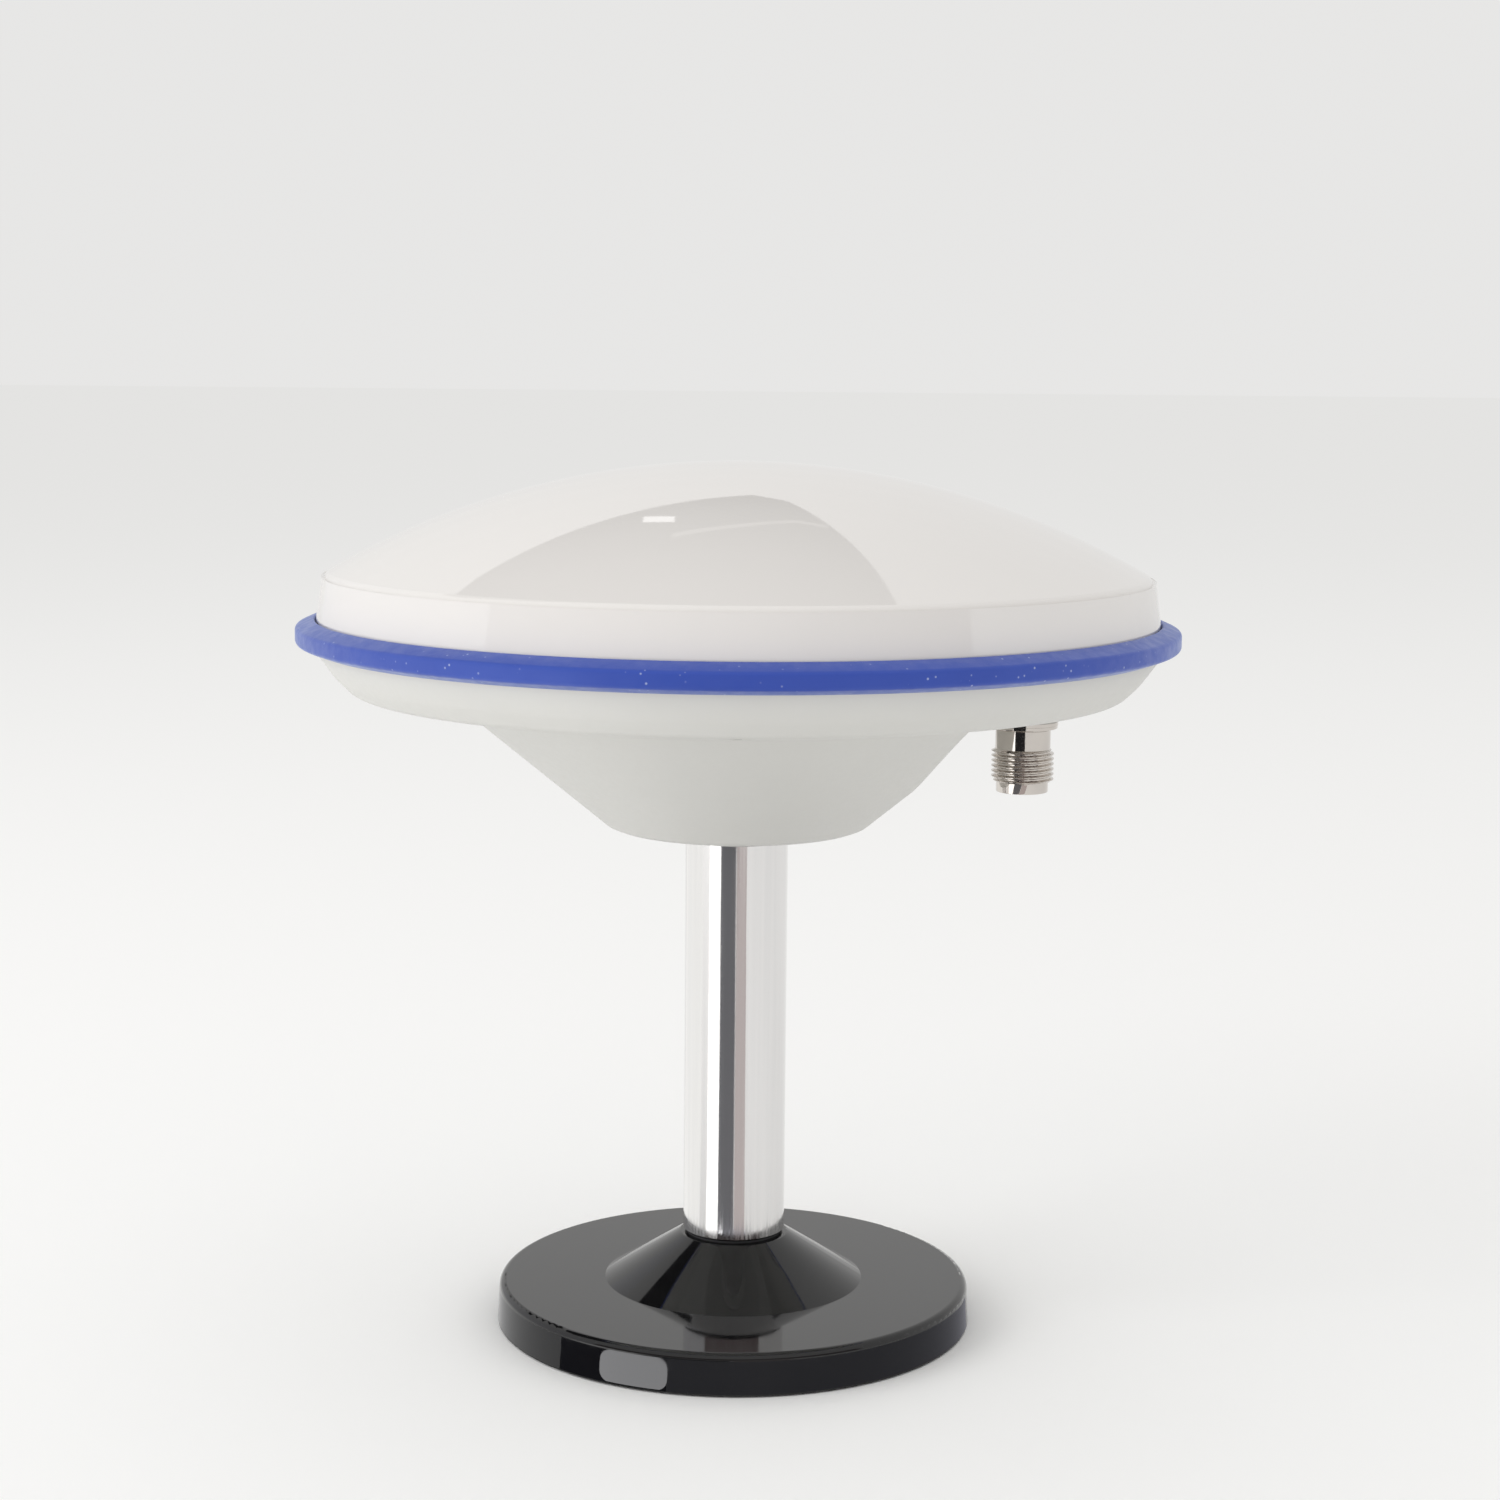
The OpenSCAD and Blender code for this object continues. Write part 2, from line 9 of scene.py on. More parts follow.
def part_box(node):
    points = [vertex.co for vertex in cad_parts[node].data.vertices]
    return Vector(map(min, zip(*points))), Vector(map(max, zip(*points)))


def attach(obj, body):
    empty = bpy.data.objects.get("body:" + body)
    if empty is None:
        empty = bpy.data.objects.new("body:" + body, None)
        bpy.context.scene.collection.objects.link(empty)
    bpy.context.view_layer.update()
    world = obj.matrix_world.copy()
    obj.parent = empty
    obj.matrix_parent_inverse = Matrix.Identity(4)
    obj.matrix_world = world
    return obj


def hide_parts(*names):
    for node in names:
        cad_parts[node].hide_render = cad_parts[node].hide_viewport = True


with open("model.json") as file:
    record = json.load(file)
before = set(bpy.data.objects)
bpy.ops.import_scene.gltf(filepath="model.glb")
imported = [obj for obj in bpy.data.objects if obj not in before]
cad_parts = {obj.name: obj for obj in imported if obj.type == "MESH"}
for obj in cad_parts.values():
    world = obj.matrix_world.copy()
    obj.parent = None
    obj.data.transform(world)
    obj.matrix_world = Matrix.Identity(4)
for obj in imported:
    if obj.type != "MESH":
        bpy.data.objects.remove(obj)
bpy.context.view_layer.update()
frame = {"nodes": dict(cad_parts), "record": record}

MM = 0.001
PITCH_5_8 = 25.4 / 11  # the head's mounting thread, mm
PITCH_M10 = 1.5
PITCH_JACK = 25.4 / 28
THREAD_DEPTH = 0.6134  # of the pitch
WELD = 2e-7  # points closer than this, in metres, are one
CRISP_ANGLE = 35  # degrees between faces that still look smooth


# ---------------------------------------------------------------- sizes from the frame, in mm

def low(node, axis=2):
    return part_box(node)[0][axis] / MM


def high(node, axis=2):
    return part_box(node)[1][axis] / MM


def radius(node):
    return (high(node, 1) - low(node, 1)) / 2


ring_r = radius("bumper_ring")
ring_low = low("bumper_ring")
head_low = low("lower_housing")
jack_centre = ((low("jack_shell", 0) + high("jack_shell", 0)) / 2, 0)
jack_low = low("jack_shell")
jack_top = high("jack_shell")
gasket_low = low("radome_gasket")
gasket_top = high("radome_gasket")


# ---------------------------------------------------------------- mesh helpers

def rounded(points, radii, steps=6):
    """The path through (r, z) points, with each inner corner turned into an arc of its radius."""
    path = [Vector(points[0])]
    for before, corner, after, r in zip(points, points[1:], points[2:], radii):
        p = Vector(corner)
        u = (Vector(before) - p).normalized()
        v = (Vector(after) - p).normalized()
        half = math.acos(max(-1.0, min(1.0, u.dot(v)))) / 2
        if r <= 0 or half > math.radians(89.5):
            path.append(p)
            continue
        reach = r / math.tan(half)
        centre = p + (u + v).normalized() * r / math.sin(half)
        start = p + u * reach - centre
        end = p + v * reach - centre
        turn = math.atan2(start.x * end.y - start.y * end.x, start.dot(end))
        for i in range(steps + 1):
            a = turn * i / steps
            path.append(centre + Vector((
                start.x * math.cos(a) - start.y * math.sin(a),
                start.x * math.sin(a) + start.y * math.cos(a),
            )))
    path.append(Vector(points[-1]))
    return [(p[0], p[1]) for p in path]


def make_object(name, vertices, faces):
    """A mesh object from points in mm, welded, with outward normals and crisp edges above the angle."""
    mesh = bpy.data.meshes.new(name)
    mesh.from_pydata([Vector(v) * MM for v in vertices], [], faces)
    bm = bmesh.new()
    bm.from_mesh(mesh)
    bmesh.ops.remove_doubles(bm, verts=bm.verts, dist=WELD)
    bmesh.ops.dissolve_degenerate(bm, edges=bm.edges, dist=WELD / 2)
    bmesh.ops.recalc_face_normals(bm, faces=bm.faces)
    bm.to_mesh(mesh)
    bm.free()
    piece = bpy.data.objects.new(name, mesh)
    bpy.context.scene.collection.objects.link(piece)
    crisp(piece, CRISP_ANGLE)
    return piece


def crisp(piece, smooth_angle):
    piece.data.shade_smooth()
    piece.data.set_sharp_from_angle(angle=math.radians(smooth_angle))


def turned(name, outline, count, centre=(0, 0), wobble=None):
    """A turned solid from a closed outline of (r, z). wobble(angle, r, z) gives each point's own r."""
    vertices = []
    for r, z in outline:
        for i in range(count):
            a = 2 * math.pi * i / count
            own = wobble(a, r, z) if wobble else r
            vertices.append((centre[0] + own * math.cos(a), centre[1] + own * math.sin(a), z))
    faces = []
    for j in range(len(outline)):
        up = (j + 1) % len(outline)
        for i in range(count):
            n = (i + 1) % count
            faces.append((j * count + i, j * count + n, up * count + n, up * count + i))
    return make_object(name, vertices, faces)


def helix(major, root, pitch, z_low, z_high, lead_in):
    """A wobble that cuts a right-hand thread between two heights, fading out at both ends."""
    half_root = 0.07  # of the pitch
    flank_width = 0.33

    def own_radius(angle, r, z):
        if not z_low <= z <= z_high or r < root:
            return r
        turn = ((z - z_low) / pitch - angle / (2 * math.pi)) % 1
        flank = min(1.0, max(0.0, (abs(turn - 0.5) - half_root) / flank_width))
        flank = flank * flank * (3 - 2 * flank)
        fade = min(1.0, (z - z_low) / lead_in, (z_high - z) / lead_in)
        return major - (major - root) * (1 - (1 - flank) * max(0.0, fade))
    return own_radius


def rows(r, z_low, z_high, step):
    """Outline points up a cylinder wall."""
    count = math.ceil((z_high - z_low) / step)
    return [(r, z_low + (z_high - z_low) * i / count) for i in range(count + 1)]


def cut(piece, tool, operation="DIFFERENCE"):
    modifier = piece.modifiers.new("cut", "BOOLEAN")
    modifier.object = tool
    modifier.operation = operation
    modifier.solver = "EXACT"
    bake(piece)
    bpy.data.objects.remove(tool)


def bake(piece):
    """Replaces the mesh with what its modifiers make of it."""
    bpy.context.view_layer.update()
    shape = piece.evaluated_get(bpy.context.evaluated_depsgraph_get())
    mesh = bpy.data.meshes.new_from_object(shape)
    piece.modifiers.clear()
    piece.data = mesh


def rod(name, r, z_low, z_high, centre=(0, 0), count=64):
    return turned(name, [(0, z_low), (r, z_low), (r, z_high), (0, z_high)], count, centre)


def polar(radius, degrees):
    a = math.radians(degrees)
    return (radius * math.cos(a), radius * math.sin(a))


# ---------------------------------------------------------------- materials

class Shader:
    """A Principled material with short calls for the nodes that every finish here uses."""

    def __init__(self, name, color, roughness, metallic=0.0, **sockets):
        self.material = bpy.data.materials.new(name)
        self.material.use_nodes = True
        self.nodes = self.material.node_tree.nodes
        self.links = self.material.node_tree.links
        self.bsdf = self.nodes["Principled BSDF"]
        self.bsdf.inputs["Base Color"].default_value = (*color, 1)
        self.bsdf.inputs["Roughness"].default_value = roughness
        self.bsdf.inputs["Metallic"].default_value = metallic
        for socket, value in sockets.items():
            self.bsdf.inputs[socket.replace("_", " ")].default_value = value
        self.coordinates = self.nodes.new("ShaderNodeTexCoord").outputs["Object"]
        self.normal = None

    def add(self, kind, **settings):
        node = self.nodes.new(kind)
        for key, value in settings.items():
            setattr(node, key, value)
        return node

    def stretched(self, stretch):
        mapping = self.add("ShaderNodeMapping")
        mapping.inputs["Scale"].default_value = stretch
        self.links.new(self.coordinates, mapping.inputs["Vector"])
        return mapping.outputs["Vector"]

    def noise(self, scale, detail=4.0, stretch=(1, 1, 1)):
        """Noise with features of about 1/scale metres."""
        node = self.add("ShaderNodeTexNoise")
        node.inputs["Scale"].default_value = scale
        node.inputs["Detail"].default_value = detail
        self.links.new(self.stretched(stretch), node.inputs["Vector"])
        return node.outputs["Fac"]

    def cells(self, scale):
        node = self.add("ShaderNodeTexVoronoi")
        node.inputs["Scale"].default_value = scale
        self.links.new(self.coordinates, node.inputs["Vector"])
        return node.outputs["Distance"]

    def rings(self, scale):
        """Turning marks round the Z axis."""
        node = self.add("ShaderNodeTexWave", wave_type="RINGS", rings_direction="Z")
        node.inputs["Scale"].default_value = scale
        node.inputs["Distortion"].default_value = 0.4
        self.links.new(self.coordinates, node.inputs["Vector"])
        return node.outputs["Fac"]

    def between(self, value, low_in, high_in, low_out, high_out):
        node = self.add("ShaderNodeMapRange")
        for key, number in zip(("From Min", "From Max", "To Min", "To Max"),
                               (low_in, high_in, low_out, high_out)):
            node.inputs[key].default_value = number
        self.links.new(value, node.inputs["Value"])
        return node.outputs["Result"]

    def tint(self, value, color):
        """Mixes color over the base colour where value is 1."""
        mix = self.add("ShaderNodeMix", data_type="RGBA")
        socket = self.bsdf.inputs["Base Color"]
        if socket.is_linked:
            self.links.new(socket.links[0].from_socket, mix.inputs["A"])
        else:
            mix.inputs["A"].default_value = socket.default_value
        mix.inputs["B"].default_value = (*color, 1)
        self.links.new(value, mix.inputs["Factor"])
        self.links.new(mix.outputs["Result"], socket)

    def roughen(self, value, low_out, high_out, low_in=0.35, high_in=0.65):
        self.links.new(self.between(value, low_in, high_in, low_out, high_out),
                       self.bsdf.inputs["Roughness"])

    def bump(self, value, depth, strength=1.0):
        """Raises the surface by depth, in metres, where value is 1."""
        node = self.add("ShaderNodeBump")
        node.inputs["Distance"].default_value = depth
        node.inputs["Strength"].default_value = strength
        self.links.new(value, node.inputs["Height"])
        if self.normal:
            self.links.new(self.normal, node.inputs["Normal"])
        self.normal = node.outputs["Normal"]
        self.links.new(self.normal, self.bsdf.inputs["Normal"])


def radome_white():
    s = Shader("radome_white", (0.80, 0.775, 0.752), 0.05, IOR=1.5, Specular_IOR_Level=0.8)
    s.tint(s.between(s.noise(28, 3), 0.4, 0.7, 0, 0.35), (0.78, 0.76, 0.738))
    s.roughen(s.noise(420, 6), 0.025, 0.05)
    s.bump(s.noise(60, 2), 0.00002, 0.18)
    s.bump(s.noise(900, 2), 0.0000015, 0.3)
    return s


def housing_white():
    s = Shader("housing_white", (0.685, 0.68, 0.65), 0.5, IOR=1.46)
    s.tint(s.between(s.noise(35, 4), 0.42, 0.68, 0, 0.4), (0.655, 0.652, 0.625))
    s.roughen(s.noise(900, 3), 0.44, 0.58)
    s.bump(s.noise(2600, 3), 0.00003, 0.55)
    s.bump(s.noise(800, 2), 0.00003, 0.25)
    return s


def ring_blue():
    s = Shader("ring_blue", (0.026, 0.068, 0.40), 0.4, IOR=1.45)
    s.bsdf.inputs["Sheen Weight"].default_value = 0.4
    s.bsdf.inputs["Sheen Roughness"].default_value = 0.4
    s.bsdf.inputs["Sheen Tint"].default_value = (0.7, 0.8, 1, 1)
    s.tint(s.between(s.noise(60, 4), 0.4, 0.7, 0, 0.5), (0.034, 0.084, 0.44))
    dust = s.between(s.cells(620), 0.06, 0.15, 1, 0)
    patches = s.between(s.noise(90, 3), 0.46, 0.6, 0, 0.75)
    both = s.add("ShaderNodeMath", operation="MULTIPLY")
    s.links.new(dust, both.inputs[0])
    s.links.new(patches, both.inputs[1])
    s.tint(both.outputs["Value"], (0.45, 0.52, 0.70))
    s.roughen(s.noise(500, 4), 0.34, 0.52)
    s.bump(s.noise(1500, 4), 0.00003, 0.5)
    s.bump(s.noise(1, 3, stretch=(60, 60, 900)), 0.00004, 0.4)
    return s


def black_gloss():
    s = Shader("black_gloss", (0.004, 0.004, 0.0045), 0.06, IOR=1.52)
    s.tint(s.between(s.noise(45, 5), 0.45, 0.75, 0, 0.5), (0.009, 0.009, 0.0095))
    s.roughen(s.noise(240, 6), 0.035, 0.09)
    s.bump(s.noise(110, 2), 0.00001, 0.3)
    s.bump(s.noise(1, 4, stretch=(3000, 900, 2000)), 0.000002, 0.35)
    return s


def black_rubber():
    s = Shader("black_rubber", (0.022, 0.022, 0.024), 0.7, IOR=1.5)
    s.tint(s.between(s.noise(120, 4), 0.4, 0.7, 0, 0.5), (0.045, 0.045, 0.048))
    s.roughen(s.noise(600, 3), 0.6, 0.82)
    s.bump(s.noise(1800, 3), 0.00005, 0.6)
    return s


def polished_steel():
    s = Shader("polished_steel", (0.80, 0.79, 0.785), 0.08, metallic=1.0)
    s.tint(s.between(s.noise(1, 4, stretch=(900, 900, 14)), 0.35, 0.7, 0, 0.5), (0.72, 0.715, 0.715))
    s.roughen(s.noise(1, 5, stretch=(2500, 2500, 30)), 0.06, 0.14)
    s.bump(s.noise(1, 4, stretch=(3500, 3500, 60)), 0.000003, 0.5)
    return s


def plain_steel():
    s = Shader("plain_steel", (0.56, 0.56, 0.57), 0.3, metallic=1.0)
    s.tint(s.between(s.noise(140, 4), 0.4, 0.7, 0, 0.6), (0.47, 0.47, 0.48))
    s.roughen(s.noise(700, 4), 0.22, 0.38)
    s.bump(s.rings(700), 0.000004, 0.4)
    return s


def nickel():
    s = Shader("nickel", (0.64, 0.60, 0.56), 0.07, metallic=1.0)
    s.tint(s.between(s.noise(300, 4), 0.4, 0.7, 0, 0.6), (0.58, 0.545, 0.515))
    s.roughen(s.noise(1500, 4), 0.035, 0.10)
    s.bump(s.noise(1, 3, stretch=(500, 500, 9000)), 0.000003, 0.4)
    return s


def brass():
    s = Shader("brass", (0.72, 0.52, 0.22), 0.25, metallic=1.0)
    s.tint(s.between(s.noise(200, 4), 0.4, 0.7, 0, 0.6), (0.55, 0.38, 0.15))
    s.roughen(s.noise(900, 4), 0.18, 0.34)
    s.bump(s.rings(600), 0.000004, 0.4)
    return s


def gold():
    s = Shader("gold", (0.85, 0.62, 0.22), 0.14, metallic=1.0)
    s.roughen(s.noise(1600, 3), 0.1, 0.2)
    s.bump(s.noise(2500, 3), 0.000002, 0.4)
    return s


def aluminium():
    s = Shader("aluminium", (0.72, 0.73, 0.75), 0.3, metallic=1.0)
    s.roughen(s.noise(1, 4, stretch=(60, 2200, 600)), 0.22, 0.38)
    s.bump(s.noise(1, 4, stretch=(60, 2600, 800)), 0.000003, 0.5)
    return s


def magnet_grey():
    s = Shader("magnet_grey", (0.16, 0.16, 0.175), 0.45, metallic=0.7)
    s.tint(s.between(s.noise(260, 5), 0.4, 0.7, 0, 0.6), (0.09, 0.09, 0.10))
    s.roughen(s.noise(800, 4), 0.38, 0.55)
    s.bump(s.noise(1600, 4), 0.00002, 0.5)
    return s


def white_nylon():
    s = Shader("white_nylon", (0.82, 0.82, 0.79), 0.4, IOR=1.5)
    s.bsdf.inputs["Subsurface Weight"].default_value = 0.1
    s.bsdf.inputs["Subsurface Radius"].default_value = (0.001, 0.001, 0.001)
    s.roughen(s.noise(900, 3), 0.34, 0.48)
    s.bump(s.noise(1300, 3), 0.00002, 0.4)
    return s


def white_fluoropolymer():
    s = Shader("white_fluoropolymer", (0.88, 0.88, 0.86), 0.3, IOR=1.36)
    s.roughen(s.noise(900, 3), 0.25, 0.36)
    s.bump(s.rings(900), 0.000004, 0.4)
    return s


def patch_ceramic():
    s = Shader("patch_ceramic", (0.72, 0.69, 0.58), 0.42, IOR=1.6)
    s.tint(s.between(s.noise(700, 4), 0.45, 0.7, 0, 0.6), (0.64, 0.61, 0.51))
    s.roughen(s.noise(900, 3), 0.36, 0.5)
    s.bump(s.noise(2200, 4), 0.00001, 0.5)
    return s


def board_green():
    s = Shader("board_green", (0.012, 0.13, 0.055), 0.24, IOR=1.52)
    s.tint(s.between(s.cells(260), 0.30, 0.34, 0, 0.8), (0.02, 0.20, 0.08))
    s.roughen(s.noise(900, 3), 0.2, 0.32)
    s.bump(s.cells(260), 0.00002, 0.5)
    return s


def cable_brown():
    s = Shader("cable_brown", (0.32, 0.17, 0.07), 0.25, IOR=1.45)
    s.roughen(s.noise(900, 3), 0.2, 0.32)
    s.bump(s.noise(3000, 3), 0.00001, 0.5)
    return s


FINISHES = {f.__name__: f().material for f in (
    radome_white, housing_white, ring_blue, black_gloss, black_rubber, polished_steel, plain_steel,
    nickel, brass, gold, aluminium, magnet_grey, white_nylon, white_fluoropolymer, patch_ceramic,
    board_green, cable_brown,
)}
SLOT_OF = {part["node"]: part["material_slot"] for part in frame["record"]["subparts"]}


def finish_node(node):
    piece = frame["nodes"][node]
    piece.data.materials.clear()
    piece.data.materials.append(FINISHES[SLOT_OF[node]])


for node in frame["nodes"]:
    finish_node(node)


# ---------------------------------------------------------------- detailed pieces

def place(piece, node, body):
    """Puts a detailed piece where a CAD node stands, in that node's finish."""
    piece.data.materials.clear()
    piece.data.materials.append(FINISHES[SLOT_OF[node]])
    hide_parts(node)
    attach(piece, body)


def build_mounting_stud():
    """The 5/8-11 stud on the pole. Its lower end is plain, inside the pole."""
    major = radius("mounting_stud")
    shoulder = high("pole_top_plug")
    bottom = low("mounting_stud")
    top = high("mounting_stud")
    tail_r = 5
    chamfer = 1.4
    outline = [(0, bottom), (tail_r, bottom), (tail_r, shoulder)]
    outline += rows(major, shoulder, top - chamfer, PITCH_5_8 / 24)
    outline += [(major - chamfer, top), (0, top)]
    depth = THREAD_DEPTH * PITCH_5_8
    thread = helix(major, major - depth, PITCH_5_8, shoulder + 0.2, top + 0.1, 0.9)
    place(turned("mounting_stud_thread", outline, 128, wobble=thread), "mounting_stud", "pole")


def build_foot_stud():
    major = radius("pole_foot_stud")
    bottom = low("pole_foot_stud")
    top = high("pole_foot_stud")
    chamfer = 1
    outline = [(0, bottom), (major - chamfer, bottom)]
    outline += rows(major, bottom + chamfer, top, PITCH_M10 / 16)
    outline.append((0, top))
    depth = THREAD_DEPTH * PITCH_M10
    thread = helix(major, major - depth, PITCH_M10, bottom, low("pole_foot_plug") - 0.1, 0.6)
    place(turned("foot_stud_thread", outline, 96, wobble=thread), "pole_foot_stud", "pole")


def build_jack():
    """The coaxial jack: a plain nose, the coupling thread, a plain body, a flange and the shank."""
    major = 5.555
    minor = 4.99
    nose_r = 4.62
    body_r = 4.9
    flange_r = radius("jack_shell")
    shank_r = 4.75
    mouth_r = 4.06
    core_r = 2.6
    thread_low = jack_low + 1.95
    thread_high = jack_low + 7.75
    flange_low = jack_low + 11.5
    flange_top = flange_low + 0.6
    bore_top = jack_low + 8
    bevel = 0.22
    outline = [
        (mouth_r + bevel, jack_low), (nose_r - bevel, jack_low), (nose_r - 0.06, jack_low + 0.07),
        (nose_r, jack_low + bevel), (nose_r, thread_low - 0.05),
    ]
    outline += rows(major, thread_low, thread_high, PITCH_JACK / 18)
    outline += [
        (body_r, thread_high + 0.05), (body_r, flange_low - 0.3), (body_r - 0.12, flange_low - 0.25),
        (body_r - 0.12, flange_low), (flange_r - 0.1, flange_low), (flange_r, flange_low + 0.1),
        (flange_r, flange_top - 0.05), (flange_r - 0.05, flange_top), (shank_r, flange_top),
        (shank_r, jack_top), (core_r, jack_top), (core_r, bore_top), (mouth_r, bore_top),
        (mouth_r, jack_low + bevel),
    ]
    thread = helix(major, minor, PITCH_JACK, thread_low, thread_high, 0.35)
    piece = turned("jack_shell_thread", outline, 120, jack_centre, wobble=thread)
    place(piece, "jack_shell", "head")


def build_bumper_ring():
    """The soft ring. Its upper lip is slightly uneven where it lies against the radome."""
    tongue_r = 71
    rim_r = ring_r - 0.006  # just inside the CAD ring
    foot_r = ring_r - 3.15
    lip_r = ring_r - 3.4
    tongue_low = ring_low + 0.9
    tongue_top = ring_low + 2.3
    top = high("bumper_ring")
    lip_depth = 1
    lip_width = 1.2
    wave_height = 0.03
    outline = rounded(
        [(tongue_r, tongue_top), (tongue_r, tongue_low), (foot_r, tongue_low), (foot_r, ring_low),
         (rim_r, ring_low + 1.1), (rim_r, ring_low + 3.8), (lip_r, top), (lip_r, tongue_top)],
        [0, 0, 0.2, 0.8, 0.8, 0.3],
    )

    def uneven(angle, r, z):
        if z < top - lip_depth or r > lip_r + lip_width:
            return r
        wave = math.sin(37 * angle + 1.3) + math.sin(83 * angle) + 0.7 * math.sin(211 * angle + 2)
        return r + wave_height * wave

    place(turned("bumper_ring_lip", outline, 720, wobble=uneven), "bumper_ring", "head")


def joined(name, pieces):
    """One object from several that don't touch."""
    mesh = bpy.data.meshes.new(name)
    bm = bmesh.new()
    for piece in pieces:
        bm.from_mesh(piece.data)
        bpy.data.objects.remove(piece)
    bm.to_mesh(mesh)
    bm.free()
    whole = bpy.data.objects.new(name, mesh)
    bpy.context.scene.collection.objects.link(whole)
    return whole


def around(name, count, pitch_radius, first, r, z_low, z_high):
    return joined(name, [
        rod(f"{name}_{i}", r, z_low, z_high, polar(pitch_radius, first + i * 360 / count), 48)
        for i in range(count)
    ])


def build_housing():
    """The lower housing: a rounded turned shell, cut for the jack, the screws and the insert."""
    z = head_low
    wall = 2.5
    foot_r = 21.75
    foot_bevel = 1.6
    cone_r = 49.4
    cone_top = z + 22.1
    cavity_r = 15
    rim_r = ring_r - 3.25
    spigot_r = ring_r - 6.6
    spigot_top = high("lower_housing")
    tongue_low = ring_low + 0.9
    roof = cone_top  # flat roof of the relief beside the jack
    relief_r = 50
    relief_centre = (80, 0)
    insert_hole_r = radius("threaded_insert") + 0.05
    nut_seat = roof + wall + 0.6
    nut_pocket_r = 8.8
    boss_r = 5.9
    shank_hole_r = 4.8
    screws = 6
    first_screw = 30  # degrees
    screw_circle = 64.2
    post_circle = 50
    screw_seat = low("housing_screws") + 1.8
    ground_low = low("ground_plane")
    outside = rounded(
        [(0, z), (foot_r, z), (foot_r + foot_bevel, z + 0.6), (cone_r, cone_top), (ring_r - 9.5, z + 24.74),
         (ring_r - 6.7, z + 27.5), (rim_r, ring_low - 0.1), (rim_r, tongue_low), (spigot_r, tongue_low)],
        [1.2, 1.6, 2.5, 3.6, 9, 0, 0],
    )
    shell = turned("lower_housing_shell", outside + [
        (spigot_r, gasket_low - 0.05), (spigot_r - 0.75, gasket_low - 0.05),
        (spigot_r - 0.75, gasket_top + 0.1), (spigot_r, gasket_top + 0.1),
        (spigot_r, spigot_top), (0, spigot_top),
    ], 360)
    cavity = turned("cavity", [
        (cavity_r, z + wall), (20.9, z + wall), (22.2, z + 3.05), (48.55, z + 24.6), (67, z + 27.18),
        (spigot_r - wall, z + 28.9), (spigot_r - wall, spigot_top + 1), (0, spigot_top + 1),
        (0, z + 18.2), (cavity_r, z + 18.2),
    ], 180)
    cut(cavity, rod("island", relief_r + wall, z - 20, roof + wall, relief_centre, 240))
    cut(cavity, around("screw_bosses", screws, screw_circle, first_screw, 4, z + 20, z + 28.2))
    cut(cavity, around("ground_posts", screws, post_circle, first_screw, 3.2, z + 20.1, ground_low))
    cut(cavity, rod("nut_pad", nut_pocket_r, roof, nut_seat, jack_centre))
    pocket = rod("nut_pocket", nut_pocket_r + 0.03, nut_seat + 0.02, jack_top, jack_centre, 70)
    cut(cavity, pocket, "UNION")
    cut(shell, rod("scoop", relief_r, z - 20, roof, relief_centre, 480))
    cut(shell, cavity)
    cut(shell, rod("jack_boss", boss_r, high("jack_gasket"), roof + 1, jack_centre, 96), "UNION")
    cut(shell, rod("insert_hole", insert_hole_r, z - 1, high("threaded_insert") + 0.2, count=128))
    cut(shell, rod("shank_hole", shank_hole_r, z, jack_top + 2, jack_centre, 96))
    cut(shell, around("screw_holes", screws, screw_circle, first_screw, 1.65, z, z + 29.4))
    cut(shell, around("counterbores", screws, screw_circle, first_screw, 3.1, z, screw_seat))
    cut(shell, around("post_holes", screws, post_circle, first_screw, 1.5, ground_low - 5, ground_low + 1))
    soften(shell, 0.22)
    place(shell, "lower_housing", "head")


def soften(piece, width):
    """Rounds the sharp edges a little, as moulded edges are."""
    bevel = piece.modifiers.new("edges", "BEVEL")
    bevel.width = width * MM
    bevel.segments = 2
    bevel.limit_method = "ANGLE"
    bevel.angle_limit = math.radians(38)
    bake(piece)
    crisp(piece, CRISP_ANGLE + 5)


build_mounting_stud()
build_foot_stud()
build_jack()
build_bumper_ring()
build_housing()


# ---------------------------------------------------------------- stage

EYE = Vector((0, -0.500894, 0.174253))
AIM = (0, 0, 0.1)
CARD_LIFT = 0.0004  # height of the cards on the floor, in metres
ARC_STEPS = 12


def floor_material():
    s = Shader("floor", (0.97, 0.97, 0.965), 0.9, Specular_IOR_Level=0.0)
    s.roughen(s.noise(40, 4), 0.85, 0.95)
    s.bump(s.noise(900, 3), 0.00002, 0.3)
    return s.material


def plate(name, corners, material, faces=None):
    mesh = bpy.data.meshes.new(name)
    mesh.from_pydata(corners, [], faces or [tuple(range(len(corners)))])
    mesh.materials.append(material)
    piece = bpy.data.objects.new(name, mesh)
    bpy.context.scene.collection.objects.link(piece)
    return piece


def reflected_card(name, corners, shade, faces=None):
    """A studio card that only shows in reflections."""
    material = bpy.data.materials.new(name)
    material.use_nodes = True
    nodes = material.node_tree.nodes
    nodes.clear()
    glow = nodes.new("ShaderNodeEmission")
    glow.inputs["Color"].default_value = (*shade, 1)
    out = nodes.new("ShaderNodeOutputMaterial")
    material.node_tree.links.new(glow.outputs[0], out.inputs["Surface"])
    card = plate(name, corners, material, faces)
    card.visible_camera = False
    card.visible_diffuse = False
    card.visible_shadow = False
    card.visible_transmission = False


